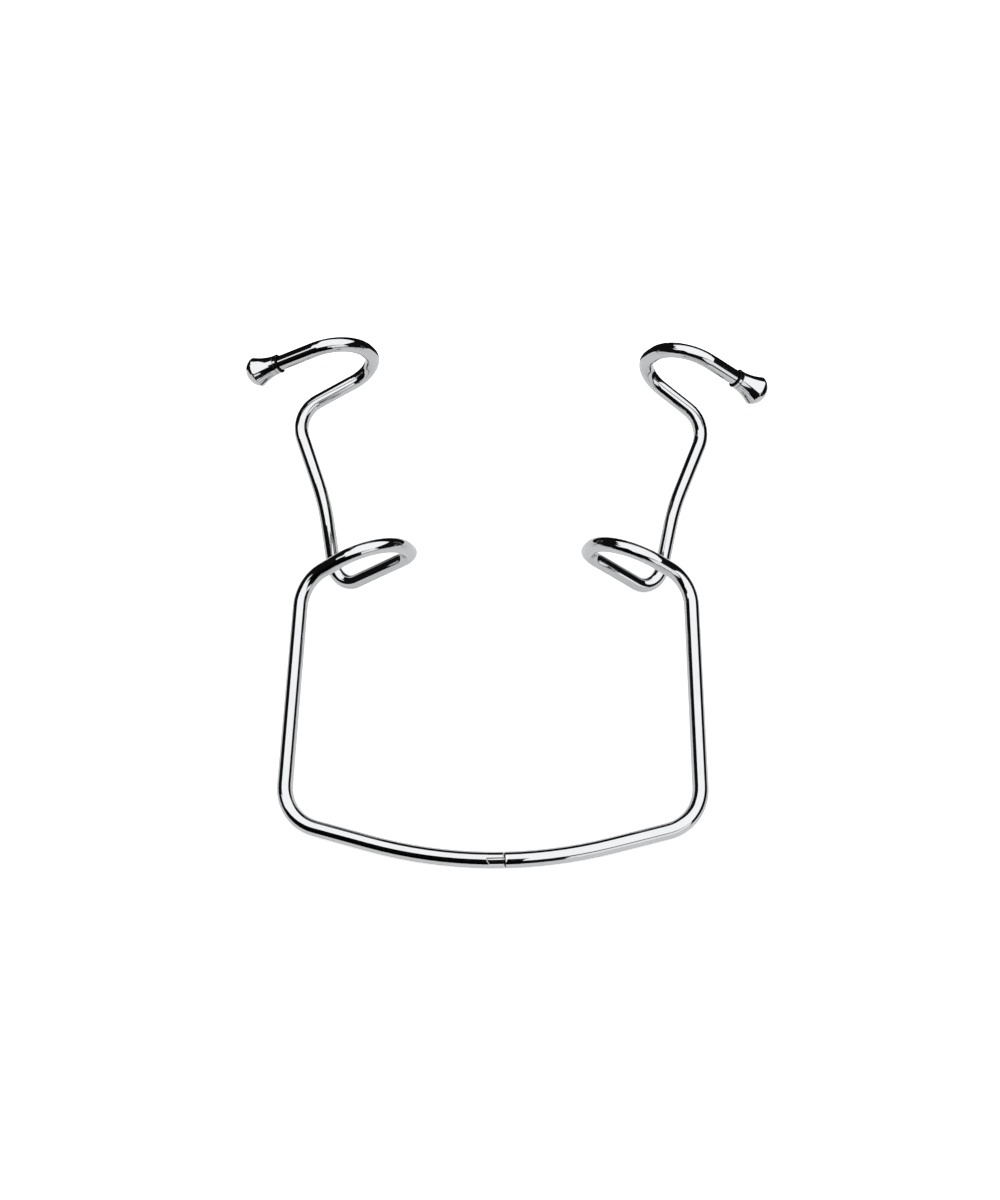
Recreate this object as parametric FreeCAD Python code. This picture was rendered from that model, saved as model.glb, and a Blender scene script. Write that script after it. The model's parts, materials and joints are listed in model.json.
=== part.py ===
"""Self-retaining lip and cheek retractor, bent from two lengths of spring wire.

A U-shaped frame carries a loop on each side that hooks round the lower lip, an arm that holds
the corner of the mouth, and a hook for the upper lip that ends in a turned knob.
The halves meet in the middle of the bar, in a plug joint with a pin and a key.

Millimetres. Each half is set out in the frame's own plane: across from the midline, up from the
middle of the bar, and forwards out of the plane. The finished object then lies as on a table:
+X across, +Y from the bar to the hooks, +Z up, the origin under the middle of its box.
"""
import FreeCAD, Part
import math
import os
from FreeCAD import Vector

# Wire and frame
WIRE_DIA = 2.5
FRAME_WIDTH = 64.7            # between the wire centres of the two straight sides
FRAME_HEIGHT = 45.5           # from the middle of the bar to the shoulders
CORNER_RISE = 5.9             # the corners stand this far above the middle of the arched bar
BAR_CURVE_RADIUS = 74.4
CORNER_RADIUS = 6.9
SHOULDER_RADIUS = 5.9

# Bend radii of the loops, arms and hooks, on the wire's centre
LOOP_FRONT_RADIUS = 7.9
LOOP_BACK_RADIUS = 3.6
HEEL_RADIUS = 3.4
ARM_RADIUS = 26.0
ELBOW_RADIUS = 5.7
HOOK_BACK_RADIUS = 5.1
HOOK_FRONT_RADIUS = 6.7

# Bend points, from the corner at the shoulder: in towards the midline, up away from the bar,
# and forwards from the frame's plane.
# The wire is bent by hand, so the right hook comes a little less far in than the left one.
LEFT_BENDS = {
    "loop_front": (15.15, 5.3, 8.3),
    "loop_back": (17.75, 7.4, -5.6),
    "heel": (2.85, 4.5, -15.0),
    "arm": (1.15, 18.0, -7.3),
    "elbow": (-4.45, 33.4, -2.0),
    "hook_back": (11.45, 41.7, 0.4),
    "hook_front": (8.05, 39.1, 14.0),
    "knob_mouth": (-4.75, 36.7, 9.5),
}
RIGHT_BENDS = {
    "loop_front": (14.15, 5.2, 8.6),
    "loop_back": (17.05, 7.5, -5.7),
    "heel": (4.25, 3.3, -14.6),
    "arm": (1.25, 17.4, -8.4),
    "elbow": (-4.85, 31.8, -4.2),
    "hook_back": (8.15, 40.6, 0.9),
    "hook_front": (2.35, 37.25, 14.2),
    "knob_mouth": (-8.15, 33.95, 7.7),
}
# In the order of the bends, from the bar to the knob
BEND_RADII = [
    CORNER_RADIUS,
    SHOULDER_RADIUS,
    LOOP_FRONT_RADIUS,
    LOOP_BACK_RADIUS,
    HEEL_RADIUS,
    ARM_RADIUS,
    ELBOW_RADIUS,
    HOOK_BACK_RADIUS,
    HOOK_FRONT_RADIUS,
]

# Plug joint in the bar
SEAM_OFFSET = 2.3             # the seam lies this far to the right of the midline
SEAM_CHAMFER = 0.18
PIN_DIA = 1.5
PIN_PLUG_LENGTH = 3.8         # slides into the left half
PIN_SEAT_LENGTH = 4.0         # brazed into the right half
PIN_CLEARANCE = 0.03          # radial, in both bores
PIN_END_GAP = 0.2
PIN_CHAMFER = 0.15
KEY_LENGTH = 2.7              # along its longer edge, back from the seam
KEY_WIDTH = 0.9
KEY_SLANT = 27.0              # degrees, skew of the keyway's closed end
KEY_TURN = 18.0               # degrees from the frame's upper face, towards the bar's outer side
KEY_CLEARANCE = 0.05
KEY_SINK = 0.1                # the key lies this far below the wire's round surface
KEYWAY_CHAMFER = 0.07         # round the keyway's mouth

# Knobs
KNOB_BEAD_DIA = 3.24
KNOB_BEAD_WIDTH = 0.25
KNOB_BEAD_EDGE = 0.07         # slant on both sides of the bead, along the knob
KNOB_COLLAR_DIA = 3.14        # plain collar behind the bead
KNOB_COLLAR_END = 0.7         # from the knob's mouth
KNOB_GROOVE_DEPTH = 0.07      # between the collar and the flare
KNOB_MOUTH_DIA = 3.16         # the trumpet's narrow end
KNOB_WAIST_DIA = 3.74         # half-way along the flare
KNOB_RIM_DIA = 5.04
KNOB_FLARE_START = 0.82
KNOB_FLARE_END = 4.35
KNOB_RIM_EDGE = 0.15          # plain edge between the flare and the dome
KNOB_RIM_CHAMFER = 0.06
KNOB_DOME_HEIGHT = 1.8
KNOB_LIP = 0.06               # edge of the bead, round the tapered recess in the mouth
KNOB_RECESS_DEPTH = 0.4
KNOB_BORE_DEPTH = 3.6
KNOB_CLEARANCE = 0.01         # braze gap round the wire's end

TOUCHING = 0.001              # places closer than this are the same
TILT_ROUNDS = 8               # each round brings the resting angle closer

WIRE_R = WIRE_DIA / 2
PIN_R = PIN_DIA / 2
SIDES = {"left": -1, "right": 1}


def bar_slope():
    """Angle of the bar's straight ends, which touch the curve in its middle."""
    half_width = FRAME_WIDTH / 2
    below_centre = BAR_CURVE_RADIUS - CORNER_RISE
    reach = math.hypot(half_width, below_centre)
    return math.asin(BAR_CURVE_RADIUS / reach) - math.atan2(below_centre, half_width)


def bar_point(across):
    """Point on the curved middle of the bar, at a distance across from the midline."""
    return Vector(across, BAR_CURVE_RADIUS - math.sqrt(BAR_CURVE_RADIUS ** 2 - across ** 2), 0)


def seam_directions():
    """Along the bar to the right, and in towards the middle of the frame, at the seam."""
    turn = math.asin(SEAM_OFFSET / BAR_CURVE_RADIUS)
    along = Vector(math.cos(turn), math.sin(turn), 0)
    inward = Vector(-math.sin(turn), math.cos(turn), 0)
    return along, inward


def tangent_arc(before, corner, after, radius):
    """Arc of the given radius that rounds a corner, with its two tangent points."""
    to_before = (before - corner).normalize()
    to_after = (after - corner).normalize()
    half_turn = (math.pi - to_before.getAngle(to_after)) / 2
    setback = radius * math.tan(half_turn)
    start = corner + to_before * setback
    end = corner + to_after * setback
    inside = (to_before + to_after).normalize()
    middle = corner + inside * (radius / math.cos(half_turn) - radius)
    return start, middle, end


def centreline(side):
    """Path of one half's wire: from the seam, along the bar, up the side and out to the knob."""
    sign = SIDES[side]
    bends = LEFT_BENDS if side == "left" else RIGHT_BENDS
    shoulder = Vector(FRAME_WIDTH / 2, FRAME_HEIGHT, 0)
    slope = bar_slope()
    curve_end = BAR_CURVE_RADIUS * math.sin(slope)
    seam = bar_point(SEAM_OFFSET)
    seam.x *= sign
    middle = bar_point((curve_end + seam.x) / 2)
    edges = [Part.Arc(seam, middle, bar_point(curve_end)).toShape()]
    corners = [Vector(FRAME_WIDTH / 2, CORNER_RISE, 0), shoulder]
    for inwards, up, forwards in bends.values():
        corners.append(shoulder + Vector(-inwards, up, forwards))
    mouth = corners.pop()
    outwards = (mouth - corners[-1]).normalize()
    corners.append(mouth + outwards * KNOB_BORE_DEPTH)
    here = bar_point(curve_end)
    for index, radius in enumerate(BEND_RADII):
        start, middle, end = tangent_arc(here, corners[index], corners[index + 1], radius)
        edges.append(Part.LineSegment(here, start).toShape())
        edges.append(Part.Arc(start, middle, end).toShape())
        here = end
    edges.append(Part.LineSegment(here, corners[-1]).toShape())
    path = Part.Wire(edges)
    if sign < 0:
        path = path.mirror(Vector(0, 0, 0), Vector(1, 0, 0))
        mouth.x = -mouth.x
        outwards.x = -outwards.x
    return path, mouth, outwards


def swept_wire(path):
    """Round wire along the path, with its bar end chamfered."""
    first = path.OrderedEdges[0]
    start = path.OrderedVertexes[0].Point
    tangent = first.tangentAt(first.FirstParameter)
    section = Part.Wire([Part.makeCircle(WIRE_R, start, tangent)])
    solid = path.makePipeShell([section], True, False)
    rims = []
    for edge in solid.Edges:
        if edge.Closed and edge.CenterOfMass.isEqual(start, TOUCHING):
            rims.append(edge)
    return solid.makeChamfer(SEAM_CHAMFER, rims)


def keyway_prism(clearance):
    """Skewed block along the bar that cuts the keyway, or with a clearance makes the key."""
    along, inward = seam_directions()
    turn = math.radians(KEY_TURN)
    slant = math.radians(KEY_SLANT)
    outward_face = Vector(0, 0, math.cos(turn)) - inward * math.sin(turn)
    across = Vector(0, 0, math.sin(turn)) + inward * math.cos(turn)
    half_width = KEY_WIDTH / 2 - clearance
    overrun = 0 if clearance else SEAM_CHAMFER
    fronts = []
    backs = []
    for offset in (half_width, -half_width):
        length = KEY_LENGTH - (KEY_WIDTH / 2 - offset) * math.tan(slant)
        length -= clearance / math.cos(slant)
        edge = bar_point(SEAM_OFFSET) + across * offset
        fronts.append(edge + along * overrun)
        backs.append(edge - along * length)
    outline = [fronts[0], backs[0], backs[1], fronts[1], fronts[0]]
    block = Part.Face(Part.makePolygon(outline))
    return block.extrude(outward_face * WIRE_DIA)


def with_keyway(wire):
    """The left half's wire with the keyway cut, and its mouth chamfered on the round surface."""
    keyway = keyway_prism(0)
    wire = wire.cut(keyway)
    hub = Vector(0, BAR_CURVE_RADIUS, 0)
    mouth = []
    for edge in wire.Edges:
        middle = edge.valueAt((edge.FirstParameter + edge.LastParameter) / 2)
        from_hub = middle - hub
        off_axis = math.hypot(math.hypot(from_hub.x, from_hub.y) - BAR_CURVE_RADIUS, middle.z)
        on_surface = abs(off_axis - WIRE_R) < TOUCHING
        if on_surface and keyway.distToShape(Part.Vertex(middle))[0] < TOUCHING:
            mouth.append(edge)
    return wire.makeChamfer(KEYWAY_CHAMFER, mouth)


def make_pin():
    """Dowel of the plug joint: brazed into the right half, sliding in the left one."""
    along = seam_directions()[0]
    tip = bar_point(SEAM_OFFSET) - along * PIN_PLUG_LENGTH
    pin = Part.makeCylinder(PIN_R, PIN_PLUG_LENGTH + PIN_SEAT_LENGTH, tip, along)
    ends = [edge for edge in pin.Edges if edge.Closed]
    return pin.makeChamfer(PIN_CHAMFER, ends)


def pin_bore(depth, direction):
    """Blind bore for the pin, from the seam into one half."""
    return Part.makeCylinder(PIN_R + PIN_CLEARANCE, depth, bar_point(SEAM_OFFSET), direction)


def straight_edges(points):
    """Straight edges that join the points in their order."""
    return [Part.LineSegment(start, end).toShape() for start, end in zip(points, points[1:])]


def knob_profile():
    """Half section of a knob, from the mouth up its axis, as a face beside the Z axis."""
    bore_r = WIRE_R + KNOB_CLEARANCE
    bead_r = KNOB_BEAD_DIA / 2
    collar_r = KNOB_COLLAR_DIA / 2
    rim_r = KNOB_RIM_DIA / 2
    dome_start = KNOB_FLARE_END + KNOB_RIM_EDGE
    apex = dome_start + KNOB_DOME_HEIGHT
    dome_radius = (rim_r ** 2 + KNOB_DOME_HEIGHT ** 2) / (2 * KNOB_DOME_HEIGHT)
    half_dome = math.asin(rim_r / dome_radius) / 2
    dome_drop = dome_radius * (1 - math.cos(half_dome))
    neck = [
        Vector(bore_r, 0, KNOB_BORE_DEPTH),
        Vector(bore_r, 0, KNOB_RECESS_DEPTH),
        Vector(bead_r - KNOB_LIP, 0, 0),
        Vector(bead_r, 0, KNOB_BEAD_EDGE),
        Vector(bead_r, 0, KNOB_BEAD_WIDTH - KNOB_BEAD_EDGE),
        Vector(collar_r, 0, KNOB_BEAD_WIDTH),
        Vector(collar_r, 0, KNOB_COLLAR_END),
        Vector(collar_r - KNOB_GROOVE_DEPTH, 0, (KNOB_COLLAR_END + KNOB_FLARE_START) / 2),
        Vector(KNOB_MOUTH_DIA / 2, 0, KNOB_FLARE_START),
    ]
    waist = Vector(KNOB_WAIST_DIA / 2, 0, (KNOB_FLARE_START + KNOB_FLARE_END) / 2)
    rim = [Vector(rim_r, 0, KNOB_FLARE_END), Vector(rim_r, 0, dome_start)]
    dome_middle = Vector(dome_radius * math.sin(half_dome), 0, apex - dome_drop)
    core = [Vector(0, 0, apex), Vector(0, 0, KNOB_BORE_DEPTH), neck[0]]
    flare = Part.Arc(neck[-1], waist, rim[0]).toShape()
    dome = Part.Arc(rim[-1], dome_middle, core[0]).toShape()
    edges = straight_edges(neck) + [flare] + straight_edges(rim) + [dome] + straight_edges(core)
    return Part.Face(Part.Wire(edges))


def make_knob(mouth, outwards):
    """Turned knob: a bead, collar and groove at the mouth, a trumpet flare, and a domed end."""
    knob = knob_profile().revolve(Vector(0, 0, 0), Vector(0, 0, 1), 360)
    rim_length = math.pi * KNOB_RIM_DIA
    rims = [edge for edge in knob.Edges if abs(edge.Length - rim_length) < KNOB_RIM_CHAMFER]
    knob = knob.makeChamfer(KNOB_RIM_CHAMFER, rims)
    knob.Placement = FreeCAD.Placement(mouth, FreeCAD.Rotation(Vector(0, 0, 1), outwards))
    return knob


def build_pieces():
    """All pieces, in the frame's own plane, and the centrelines of the two halves."""
    along = seam_directions()[0]
    pieces = {}
    paths = []
    for side in SIDES:
        path, mouth, outwards = centreline(side)
        pieces[side + "_frame_wire"] = swept_wire(path)
        pieces[side + "_knob"] = make_knob(mouth, outwards)
        paths.append(path)
    left = pieces["left_frame_wire"]
    right = pieces["right_frame_wire"]
    pin = make_pin()
    pieces["coupling_pin"] = pin
    sunk_bar = Part.makeTorus(BAR_CURVE_RADIUS, WIRE_R - KEY_SINK, Vector(0, BAR_CURVE_RADIUS, 0))
    pieces["coupling_key"] = keyway_prism(KEY_CLEARANCE).common(sunk_bar).cut(pin)
    left = left.cut(pin_bore(PIN_PLUG_LENGTH + PIN_END_GAP, along * -1))
    pieces["left_frame_wire"] = with_keyway(left)
    pieces["right_frame_wire"] = right.cut(pin_bore(PIN_SEAT_LENGTH + PIN_END_GAP, along))
    return pieces, paths


def resting_tilt(paths):
    """Angle at which the bar and the lower loops touch the table together."""
    tilt = 0.0
    for _ in range(TILT_ROUNDS):
        lowest = min((path.copy().rotate(Vector(), Vector(1, 0, 0), tilt) for path in paths),
                     key=lambda path: path.BoundBox.ZMin)
        tilt += math.degrees(math.atan2(-lowest.BoundBox.ZMin, FRAME_HEIGHT))
    return tilt


def main():
    pieces, paths = build_pieces()
    tilt = resting_tilt(paths)
    for piece in pieces.values():
        piece.rotate(Vector(), Vector(1, 0, 0), tilt)
    box = Part.makeCompound(list(pieces.values())).optimalBoundingBox()
    to_origin = Vector(-box.Center.x, -box.Center.y, -box.ZMin)
    os.makedirs("parts", exist_ok=True)
    for name, piece in pieces.items():
        piece.translate(to_origin)
        piece.exportStep("parts/" + name + ".step")
        print(name, piece.ShapeType, piece.isValid(), round(piece.Volume, 3))
    print("tilt", round(tilt, 3), "shift", to_origin)


main()
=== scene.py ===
"""Studio scene of a wire lip and cheek retractor in mirror-polished stainless steel."""
import json
import math

import bpy
from mathutils import Euler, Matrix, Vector

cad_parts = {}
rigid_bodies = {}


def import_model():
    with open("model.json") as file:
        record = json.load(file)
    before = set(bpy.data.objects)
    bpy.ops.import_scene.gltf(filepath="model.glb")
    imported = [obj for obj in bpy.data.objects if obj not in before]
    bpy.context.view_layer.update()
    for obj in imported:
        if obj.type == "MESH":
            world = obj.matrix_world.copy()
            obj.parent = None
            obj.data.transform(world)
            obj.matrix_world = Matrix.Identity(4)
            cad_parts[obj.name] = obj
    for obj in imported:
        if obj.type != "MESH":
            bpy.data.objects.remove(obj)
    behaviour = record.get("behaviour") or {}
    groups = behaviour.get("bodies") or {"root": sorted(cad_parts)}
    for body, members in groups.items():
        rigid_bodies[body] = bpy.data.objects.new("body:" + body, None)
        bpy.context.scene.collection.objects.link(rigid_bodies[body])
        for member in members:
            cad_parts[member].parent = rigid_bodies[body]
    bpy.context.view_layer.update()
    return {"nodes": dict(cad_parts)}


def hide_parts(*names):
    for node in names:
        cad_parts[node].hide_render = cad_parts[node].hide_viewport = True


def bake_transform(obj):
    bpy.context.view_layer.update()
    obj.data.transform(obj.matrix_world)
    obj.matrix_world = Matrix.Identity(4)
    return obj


for leftover in list(bpy.data.objects):
    bpy.data.objects.remove(leftover)
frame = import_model()
nodes = frame["nodes"]

MM = 0.001

# Camera, in the frame's own millimetres and degrees
CAMERA_PLACE = (8.288, -112.793, 160.212)
CAMERA_TURN = (37.4263, 2.2307, 1.6056)
CAMERA_CLIP = (0.01, 20.0)                             # metres
SENSOR_WIDTH = 36.0
FOCAL_PIXELS = 1120
IMAGE_WIDTH = 1000

# Light, in metres, as the brightness that a perfect mirror would show
PANEL_HEIGHT = 0.9
PANEL_BRIGHTNESS = 1.57
OVERHEAD = {"main": ((-0.48, -1.05), (1.27, 0.95)),    # corners, as x and y
            "left": ((-0.66, -0.55), (-0.48, 0.25)),
            "left_front": ((-1.1, -0.55), (-0.66, -0.2))}
SIDE_WALL_AZIMUTH = -60.0
SIDE_WALL = {"distance": 1.5, "size": (1.09, 0.87), "brightness": 1.3}
ROOM_GREY = 0.008

# Black card that stands in front of the bar, in metres
DARK_CARD = {"x": (-0.095, 0.004), "y": -0.062, "z": (0.0005, 0.062)}
FELT = (0.003, 0.003, 0.003)

# Floor, in metres: a sheet of white paper on a wide white floor, both as two corners
PAPER = ((-0.2, -0.12), (0.085, 0.075))
WIDE_FLOOR = ((-6, -6), (6, 6))
WIDE_FLOOR_DROP = 0.0003
PAPER_ALBEDO = 0.84
PAPER_ROUGHNESS = 0.9
FIBRES = {"Scale": 1500.0, "Detail": 6.0}
FIBRE_TONE = 0.98             # the darker fibres, of the paper's albedo
PAPER_SHINE = 0.16            # its own light, in the steel
PAPER_GLOW = 0.45             # added to that for the camera
WIDE_FLOOR_GLOW = 0.9         # the same, for the floor round the paper

# Polished steel: its colour, its noises by scale per metre, and how far they change it
REFLECTANCE = (0.56, 0.565, 0.575)
JOINT_REFLECTANCE = tuple(0.92 * c for c in REFLECTANCE)
DRIFT = {"Scale": 260.0, "Detail": 3.0}                # of colour, about 4 mm long
DRIFT_RANGE = (0.95, 1.05)                             # of the reflectance
SMEARS = {"Scale": 900.0, "Detail": 5.0}               # of gloss, about 1 mm long
SMEAR_CONTRAST = (0.3, 0.7)
SMEAR_RANGE = (0.7, 1.5)                               # of the roughness
RIPPLES = {"Scale": 330.0, "Detail": 1.0}              # about 3 mm long
HAIRLINES = {"Scale": 7000.0, "Detail": 2.0}
WIRE_FINISH = {"roughness": 0.05, "ripple_mm": 0.004, "hairline_mm": 0.0001}
KNOB_FINISH = {"roughness": 0.06, "ripple_mm": 0.003, "hairline_mm": 0.0001}
JOINT_FINISH = {"roughness": 0.09, "ripple_mm": 0.004, "hairline_mm": 0.0002}

# Colours and roughness of the painted shade and the painted highlights in the steel
PAINTED_SHADE = ((0.012, 0.011, 0.010), 0.4)                    # painted shade in the crevices, gaps and grooves round the joints
# painted highlight on the edges round the joint
PAINTED_HIGHLIGHT = ((0.92, 0.92, 0.92), 0.5)

# Knobs, in the frame's millimetres: the mouth's centre and the way the knob points
LEFT_KNOB = {"mouth": (-38.605, 35.135, 33.741), "axis": (-0.92898, -0.07408, -0.36265)}
RIGHT_KNOB = {"mouth": (38.995, 33.01, 31.233), "axis": (0.82144, -0.10285, -0.56094)}
MOUTH_SHADE_END = (0.25, 0.30)      # the painted shade of the crevice at the mouth stops between these, from the mouth
GROOVE = (0.76, 0.02, 0.08)   # a band of painted shade in the groove, from the mouth, as the bands below
# how much painted shade goes into the groove
GROOVE_SHADE = 0.8

# Plug joint in the bar, in the frame's millimetres
SEAM = (0.8, -40.93, 1.26)
ALONG_BAR = (0.99952, 0.02964, 0.00879)
ACROSS_KEYWAY = (-0.02941, 0.82342, 0.56667)
KEYWAY_LENGTH = 2.7
KEYWAY_HALF = 0.45
KEYWAY_SLANT = math.tan(math.radians(27))

# Bands of painted shade and painted highlights round the joint, in millimetres: middle, half
# width, and half width with the fade. Those along the bar start from the seam, and those across
# it from the keyway's middle.
# painted highlight at the seam on the left wire
SEAM_HIGHLIGHT = (-0.09, 0.10, 0.14)
# painted shade in the seam on the right wire
SEAM_SHADE = (0.06, 0.10, 0.15)
END_HIGHLIGHT = (-0.08, 0.07, 0.12)                        # painted highlight, from the keyway's slanted end
END_HIGHLIGHT_ACROSS = (0.0, KEYWAY_HALF + 0.04, KEYWAY_HALF + 0.10)
# painted shade along the keyway's upper edge
EDGE_SHADE_ACROSS = (KEYWAY_HALF + 0.05, 0.04, 0.08)
EDGE_SHADE_START = (-0.02, 0.03)                        # fades out to the left of that end
EDGE_SHADE_STOP = (-0.25, -0.2)                         # fades out before the seam
# slanted painted highlight beside the seam on the right wire
GLINT = (0.28, 0.10, 0.14)
GLINT_ACROSS = (0.25, 0.35, 0.5)
GLINT_SLANT = -0.25
# painted highlight along the key's upper edge, and painted shade near the seam
KEY_HIGHLIGHT_ACROSS = (0.30, 0.05, 0.10)
KEY_SHADE = (-0.22, 0.03, 0.07)


def node(tree, kind, **inputs):
    made = tree.nodes.new(kind)
    for name, value in inputs.items():
        made.inputs[name.replace("_", " ")].default_value = value
    return made


def feed(tree, socket, value):
    """Links a socket to another one, or sets it to a number."""
    if isinstance(value, bpy.types.NodeSocket):
        tree.links.new(value, socket)
    else:
        socket.default_value = value


def noise(tree, place, settings):
    made = node(tree, "ShaderNodeTexNoise", **settings)
    tree.links.new(place.outputs["Object"], made.inputs["Vector"])
    return made.outputs["Fac"]


def bump(tree, height, depth):
    """Bumps of that depth, in metres, where the height is 1."""
    made = node(tree, "ShaderNodeBump", Distance=depth)
    tree.links.new(height, made.inputs["Height"])
    return made


def maths(tree, operation, *values):
    made = tree.nodes.new("ShaderNodeMath")
    made.operation = operation
    for socket, value in zip(made.inputs, values):
        feed(tree, socket, value)
    return made.outputs[0]


def fade(tree, value, start, end):
    """1 below start, 0 above end, smooth between them."""
    made = node(tree, "ShaderNodeMapRange", To_Min=1.0, To_Max=0.0)
    made.interpolation_type = "SMOOTHSTEP"
    made.inputs["From Min"].default_value = start
    made.inputs["From Max"].default_value = end
    tree.links.new(value, made.inputs["Value"])
    return made.outputs["Result"]


def band(tree, value, middle, half, outer_half):
    """1 within half of the middle, 0 beyond outer_half."""
    away = maths(tree, "ABSOLUTE", maths(tree, "SUBTRACT", value, middle))
    return fade(tree, away, half, outer_half)


def along_axis(tree, place, origin, axis):
    """Distance in millimetres from origin along axis."""
    dot = tree.nodes.new("ShaderNodeVectorMath")
    dot.operation = "DOT_PRODUCT"
    tree.links.new(place.outputs["Object"], dot.inputs[0])
    dot.inputs[1].default_value = [c / MM for c in axis]
    return maths(tree, "SUBTRACT", dot.outputs["Value"], Vector(origin).dot(Vector(axis)))


def colour_mix(tree, factor, first, second):
    mix = tree.nodes.new("ShaderNodeMix")
    mix.data_type = "RGBA"
    feed(tree, mix.inputs["Factor"], factor)
    feed(tree, mix.inputs[6], first)
    feed(tree, mix.inputs[7], second)
    return mix.outputs[2]


def number_mix(tree, factor, first, second):
    mix = tree.nodes.new("ShaderNodeMix")
    feed(tree, mix.inputs["Factor"], factor)
    feed(tree, mix.inputs[2], first)
    feed(tree, mix.inputs[3], second)
    return mix.outputs[0]


def polished_steel(name, reflectance, finish, marks):
    """Polished steel: faint colour drift, uneven gloss, shallow ripples and fine buffing lines.

    marks(tree, place) lists spots of painted shade and painted highlight, each with a socket that
    says from 0 to 1 how much of it there is.
    """
    material = bpy.data.materials.new(name)
    material.use_nodes = True
    tree = material.node_tree
    shader = tree.nodes["Principled BSDF"]
    shader.inputs["Metallic"].default_value = 1.0
    place = tree.nodes.new("ShaderNodeTexCoord")

    colour = colour_mix(tree, noise(tree, place, DRIFT),
                        *((*[share * c for c in reflectance], 1) for share in DRIFT_RANGE))
    dull, duller = (share * finish["roughness"] for share in SMEAR_RANGE)
    gloss = node(tree, "ShaderNodeMapRange", From_Min=SMEAR_CONTRAST[0],
                 From_Max=SMEAR_CONTRAST[1], To_Min=dull, To_Max=duller)
    tree.links.new(noise(tree, place, SMEARS), gloss.inputs["Value"])
    dullness = gloss.outputs["Result"]

    for (mark_colour, mark_roughness), amount in marks(tree, place):
        colour = colour_mix(tree, amount, colour, (*mark_colour, 1))
        dullness = number_mix(tree, amount, dullness, mark_roughness)
    tree.links.new(colour, shader.inputs["Base Color"])
    tree.links.new(dullness, shader.inputs["Roughness"])

    wave = bump(tree, noise(tree, place, RIPPLES), finish["ripple_mm"] * MM)
    scratch = bump(tree, noise(tree, place, HAIRLINES), finish["hairline_mm"] * MM)
    tree.links.new(wave.outputs["Normal"], scratch.inputs["Normal"])
    tree.links.new(scratch.outputs["Normal"], shader.inputs["Normal"])
    return material


def knob_steel(name, knob):
    """Turned steel with painted shade in the crevice round the mouth and in the groove."""
    def marks(tree, place):
        far = along_axis(tree, place, knob["mouth"], knob["axis"])
        # painted shade in the crevice at the knob's mouth
        mouth_shade = fade(tree, far, *MOUTH_SHADE_END)
        # painted shade in the groove
        groove_shade = maths(tree, "MULTIPLY", band(tree, far, *GROOVE), GROOVE_SHADE)
        return [(PAINTED_SHADE, maths(tree, "MAXIMUM", mouth_shade, groove_shade))]
    return polished_steel(name, REFLECTANCE, KNOB_FINISH, marks)


def joint_place(tree, place):
    """Millimetres from the seam to the right, and from the keyway's middle across the bar."""
    return (along_axis(tree, place, SEAM, ALONG_BAR),
            along_axis(tree, place, SEAM, ACROSS_KEYWAY))


def left_wire_marks(tree, place):
    """Painted highlights at the seam and the keyway's slanted end, and painted shade along its
    upper edge.
    """
    right, across = joint_place(tree, place)
    from_end = maths(tree, "ADD", maths(tree, "MULTIPLY_ADD", across, KEYWAY_SLANT, right),
                     KEYWAY_LENGTH - KEYWAY_HALF * KEYWAY_SLANT)
    # painted highlights on the keyway's slanted end and at the seam
    end_highlight = maths(tree, "MULTIPLY", band(tree, from_end, *END_HIGHLIGHT),
                      band(tree, across, *END_HIGHLIGHT_ACROSS))
    seam_highlight = band(tree, right, *SEAM_HIGHLIGHT)
    started = fade(tree, maths(tree, "MULTIPLY", from_end, -1.0), *EDGE_SHADE_START)
    # painted shade along the keyway's upper edge, fading out before the seam
    shade_amount = maths(tree, "MULTIPLY", band(tree, across, *EDGE_SHADE_ACROSS), started)
    shade_amount = maths(tree, "MULTIPLY", shade_amount, fade(tree, right, *EDGE_SHADE_STOP))
    return [(PAINTED_SHADE, shade_amount), (PAINTED_HIGHLIGHT, maths(tree, "MAXIMUM", end_highlight, seam_highlight))]


def right_wire_marks(tree, place):
    """Painted shade in the seam and a slanted painted highlight beside it."""
    right, across = joint_place(tree, place)
    # painted shade in the seam
    shade_amount = band(tree, right, *SEAM_SHADE)
    # slanted painted highlight beside the seam
    slanted = maths(tree, "MULTIPLY_ADD", across, GLINT_SLANT, right)
    glint = maths(tree, "MULTIPLY", band(tree, slanted, *GLINT), band(tree, across, *GLINT_ACROSS))
    return [(PAINTED_HIGHLIGHT, glint), (PAINTED_SHADE, shade_amount)]


def key_marks(tree, place):
    """A painted highlight along the key's upper edge, with painted shade near the seam."""
    right, across = joint_place(tree, place)
    # painted highlight on the key's upper edge, painted shade near the seam
    return [(PAINTED_HIGHLIGHT, band(tree, across, *KEY_HIGHLIGHT_ACROSS)), (PAINTED_SHADE, band(tree, right, *KEY_SHADE))]


def paint(item, material):
    item.data.materials.clear()
    item.data.materials.append(material)


def add_camera():
    data = bpy.data.cameras.new("camera")
    data.sensor_fit = "HORIZONTAL"
    data.sensor_width = SENSOR_WIDTH
    data.lens = SENSOR_WIDTH * FOCAL_PIXELS / IMAGE_WIDTH
    data.clip_start, data.clip_end = CAMERA_CLIP
    camera = bpy.data.objects.new("camera", data)
    camera.location = Vector(CAMERA_PLACE) * MM
    camera.rotation_euler = Euler([math.radians(a) for a in CAMERA_TURN], "XYZ")
    bpy.context.collection.objects.link(camera)
    bpy.context.scene.camera = camera


def add_quad(name, corners, material):
    """Flat four-cornered piece of the studio, which isn't part of the object."""
    mesh = bpy.data.meshes.new(name)
    mesh.from_pydata(corners, [], [(0, 1, 2, 3)])
    quad = bpy.data.objects.new(name, mesh)
    bpy.context.collection.objects.link(quad)
    paint(quad, material)
    return quad


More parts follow.
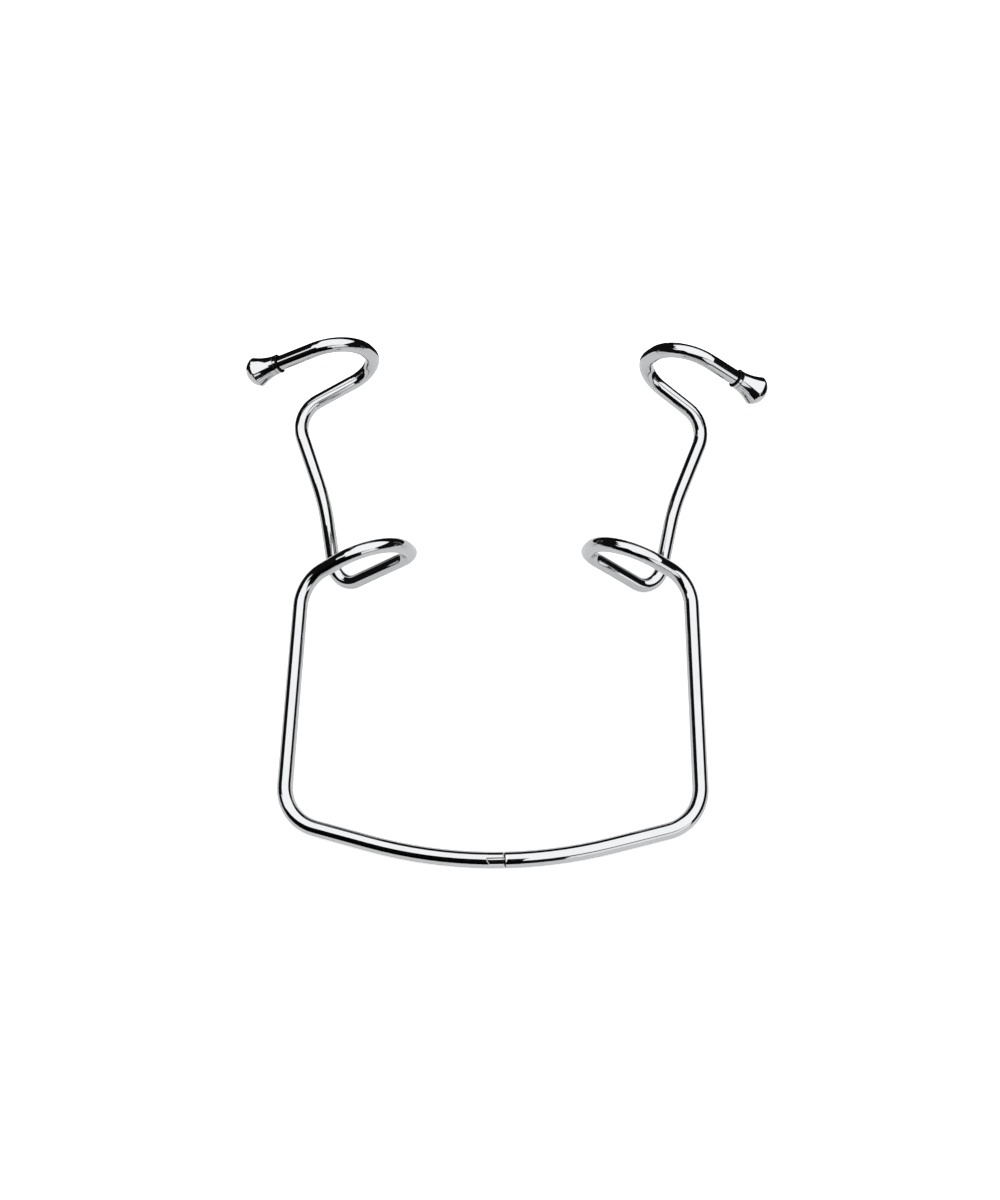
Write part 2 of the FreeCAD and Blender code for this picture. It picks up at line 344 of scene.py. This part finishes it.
def white_paper(name, glow_for_camera):
    paper = bpy.data.materials.new(name)
    paper.use_nodes = True
    tree = paper.node_tree
    shader = tree.nodes["Principled BSDF"]
    shader.inputs["Roughness"].default_value = PAPER_ROUGHNESS
    shader.inputs["Specular IOR Level"].default_value = 0.0
    place = tree.nodes.new("ShaderNodeTexCoord")
    tones = ((*[share * PAPER_ALBEDO] * 3, 1) for share in (1.0, FIBRE_TONE))
    tone = colour_mix(tree, noise(tree, place, FIBRES), *tones)
    tree.links.new(tone, shader.inputs["Base Color"])
    shader.inputs["Emission Color"].default_value = (1, 1, 1, 1)
    path = tree.nodes.new("ShaderNodeLightPath")
    glow = maths(tree, "MULTIPLY_ADD", path.outputs["Is Camera Ray"], glow_for_camera,
                 PAPER_SHINE)
    tree.links.new(glow, shader.inputs["Emission Strength"])
    return paper


def add_floor():
    """Pale floor: a sheet of white paper under the object, on a wide white floor."""
    for name, ((x0, y0), (x1, y1)), z, glow, mirrored in (
            ("paper_sheet", PAPER, 0.0, PAPER_GLOW, True),
            ("wide_floor", WIDE_FLOOR, -WIDE_FLOOR_DROP, WIDE_FLOOR_GLOW, False)):
        corners = [(x0, y0, z), (x1, y0, z), (x1, y1, z), (x0, y1, z)]
        sheet = add_quad(name, corners, white_paper(name + "_white", glow))
        sheet.visible_glossy = mirrored


def add_panel(name, place, facing, size, brightness):
    light = bpy.data.lights.new(name, "AREA")
    light.shape = "RECTANGLE"
    light.size, light.size_y = size
    light.energy = math.pi * size[0] * size[1] * brightness
    panel = bpy.data.objects.new(name, light)
    panel.location = place
    panel.rotation_euler = Vector(facing).to_track_quat("-Z", "Y").to_euler()
    panel.visible_camera = False
    bpy.context.collection.objects.link(panel)


def add_dark_card():
    """Black card that the bar mirrors; the camera and the shadows don't see it."""
    (x0, x1), y, (foot, top) = DARK_CARD["x"], DARK_CARD["y"], DARK_CARD["z"]
    felt = bpy.data.materials.new("black_felt")
    felt.use_nodes = True
    shader = felt.node_tree.nodes["Principled BSDF"]
    shader.inputs["Base Color"].default_value = (*FELT, 1)
    shader.inputs["Roughness"].default_value = 1.0
    shader.inputs["Specular IOR Level"].default_value = 0.0
    corners = [(x0, y, foot), (x1, y, foot), (x1, y, top), (x0, y, top)]
    card = add_quad("dark_card", corners, felt)
    card.visible_camera = False
    card.visible_diffuse = False
    card.visible_shadow = False


def add_room():
    """Dark room; the camera sees plain white behind the floor."""
    world = bpy.data.worlds.new("studio")
    world.use_nodes = True
    bpy.context.scene.world = world
    tree = world.node_tree
    room = tree.nodes["Background"]
    room.inputs["Color"].default_value = (ROOM_GREY, ROOM_GREY, ROOM_GREY, 1)
    backdrop = tree.nodes.new("ShaderNodeBackground")
    backdrop.inputs["Color"].default_value = (1, 1, 1, 1)
    path = tree.nodes.new("ShaderNodeLightPath")
    mix = tree.nodes.new("ShaderNodeMixShader")
    tree.links.new(path.outputs["Is Camera Ray"], mix.inputs["Fac"])
    tree.links.new(room.outputs[0], mix.inputs[1])
    tree.links.new(backdrop.outputs[0], mix.inputs[2])
    tree.links.new(mix.outputs[0], tree.nodes["World Output"].inputs["Surface"])


def add_light():
    """Panels overhead and at the front right, the black card and the dark room."""
    for name, ((x0, y0), (x1, y1)) in OVERHEAD.items():
        middle = ((x0 + x1) / 2, (y0 + y1) / 2, PANEL_HEIGHT)
        add_panel("overhead_" + name, middle, (0, 0, -1), (x1 - x0, y1 - y0), PANEL_BRIGHTNESS)
    azimuth = math.radians(SIDE_WALL_AZIMUTH)
    out = Vector((math.cos(azimuth), math.sin(azimuth), 0))
    place = out * SIDE_WALL["distance"] + Vector((0, 0, SIDE_WALL["size"][1] / 2))
    add_panel("side_wall", place, -out, SIDE_WALL["size"], SIDE_WALL["brightness"])
    add_dark_card()
    add_room()


def add_bending_wire(steel):
    """The right half's wire, copied from its CAD part and shown in that part's place."""
    wire = bpy.data.objects.new("right_wire", nodes["right_frame_wire"].data.copy())
    bpy.context.collection.objects.link(wire)
    paint(wire, steel)
    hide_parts("right_frame_wire")
    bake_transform(wire)


add_camera()
add_floor()
add_light()
joint_steel = polished_steel("joint_steel", JOINT_REFLECTANCE, JOINT_FINISH, key_marks)
paint(nodes["left_frame_wire"],
      polished_steel("left_spring_steel", REFLECTANCE, WIRE_FINISH, left_wire_marks))
paint(nodes["left_knob"], knob_steel("left_turned_steel", LEFT_KNOB))
paint(nodes["right_knob"], knob_steel("right_turned_steel", RIGHT_KNOB))
paint(nodes["coupling_pin"], joint_steel)
paint(nodes["coupling_key"], joint_steel)
add_bending_wire(polished_steel("right_spring_steel", REFLECTANCE, WIRE_FINISH, right_wire_marks))

view = bpy.context.scene.view_settings
view.view_transform = "Standard"
view.look = "None"
bpy.context.view_layer.update()
